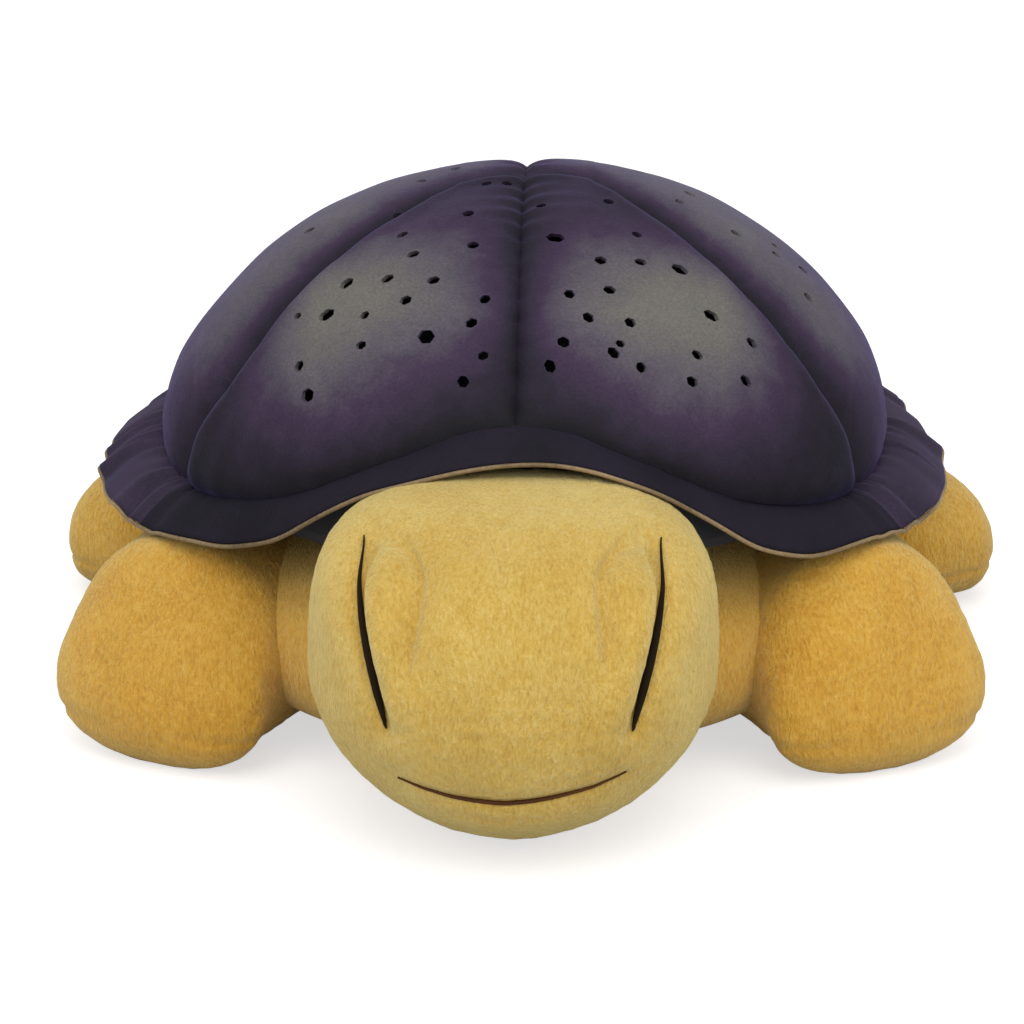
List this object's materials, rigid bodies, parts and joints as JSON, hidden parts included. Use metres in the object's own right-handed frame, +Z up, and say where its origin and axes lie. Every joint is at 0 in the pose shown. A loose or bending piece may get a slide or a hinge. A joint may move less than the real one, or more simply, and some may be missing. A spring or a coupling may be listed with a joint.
{
  "type": "star night light projector",
  "caption": "Stuffed turtle night light: a padded fabric shell pierced with holes over a star-pierced dome with a lamp, plush head, flippers and gathered brim.",
  "frame": {"origin": "middle of the toy's footprint on the surface it rests on", "axes": "+Z up, +Y towards the tail (the face looks along -Y), +X to the right as seen from the front"},
  "size_m": [0.323, 0.374, 0.1708],
  "materials": {
    "plush": "soft short-pile ochre plush",
    "shell_fabric": "brushed dark fabric, grey in the middle and plum at the seams",
    "brim_fabric": "gathered dark indigo fabric",
    "dark_plastic": "fine matte",
    "cell_can": "satin can",
    "spring_steel": "plain",
    "board": "glass-fibre board",
    "amber_lens": "clear tinted",
    "blue_lens": "clear tinted",
    "green_lens": "clear tinted",
    "clear_lens": "clear moulded",
    "white_button": "fine matte",
    "amber_button": "fine matte",
    "blue_button": "fine matte",
    "green_button": "fine matte",
    "switch_plastic": "plain"
  },
  "bodies": {
    "toy": {"plush_body": "plush", "head": "plush", "front_flipper_left": "plush", "front_flipper_right": "plush", "rear_flipper_left": "plush", "rear_flipper_right": "plush", "tail": "plush", "cover_front_left": "shell_fabric", "cover_front_right": "shell_fabric", "cover_rear_left": "shell_fabric", "cover_rear_right": "shell_fabric", "front_brim": "brim_fabric", "side_ruffle_left": "brim_fabric", "side_ruffle_right": "brim_fabric", "rear_ruffle": "brim_fabric", "star_dome": "dark_plastic", "base_plate": "dark_plastic", "battery_housing": "dark_plastic", "battery_cell_1": "cell_can", "battery_cell_2": "cell_can", "battery_cell_3": "cell_can", "front_contacts": "spring_steel", "rear_contacts": "spring_steel", "dome_screws": "spring_steel", "lamp_column": "dark_plastic", "lamp_board": "board", "main_board": "board", "switch_board": "board", "amber_led": "amber_lens", "blue_led": "blue_lens", "green_led": "green_lens", "lamp_lens": "clear_lens", "button_panel": "dark_plastic", "tact_switches": "switch_plastic"},
    "battery_door": {"battery_door": "dark_plastic", "door_screw": "spring_steel"},
    "power_button": {"power_button": "white_button"},
    "amber_button": {"amber_button": "amber_button"},
    "blue_button": {"blue_button": "blue_button"},
    "green_button": {"green_button": "green_button"}
  },
  "joints": [
    {"name": "battery_door_lift_off", "type": "slide", "parent": "toy", "child": "battery_door", "axis": [0, 0, -1], "range_m": [0, 0.015]},
    {"name": "power_press", "type": "slide", "parent": "toy", "child": "power_button", "axis": [0, -0.747, -0.6648], "range_m": [0, 0.0012], "stiffness_N_per_m": 600, "springref_m": -0.0004},
    {"name": "amber_press", "type": "slide", "parent": "toy", "child": "amber_button", "axis": [0, -0.747, -0.6648], "range_m": [0, 0.0012], "stiffness_N_per_m": 600, "springref_m": -0.0004},
    {"name": "blue_press", "type": "slide", "parent": "toy", "child": "blue_button", "axis": [0, -0.747, -0.6648], "range_m": [0, 0.0012], "stiffness_N_per_m": 600, "springref_m": -0.0004},
    {"name": "green_press", "type": "slide", "parent": "toy", "child": "green_button", "axis": [0, -0.747, -0.6648], "range_m": [0, 0.0012], "stiffness_N_per_m": 600, "springref_m": -0.0004}
  ]
}
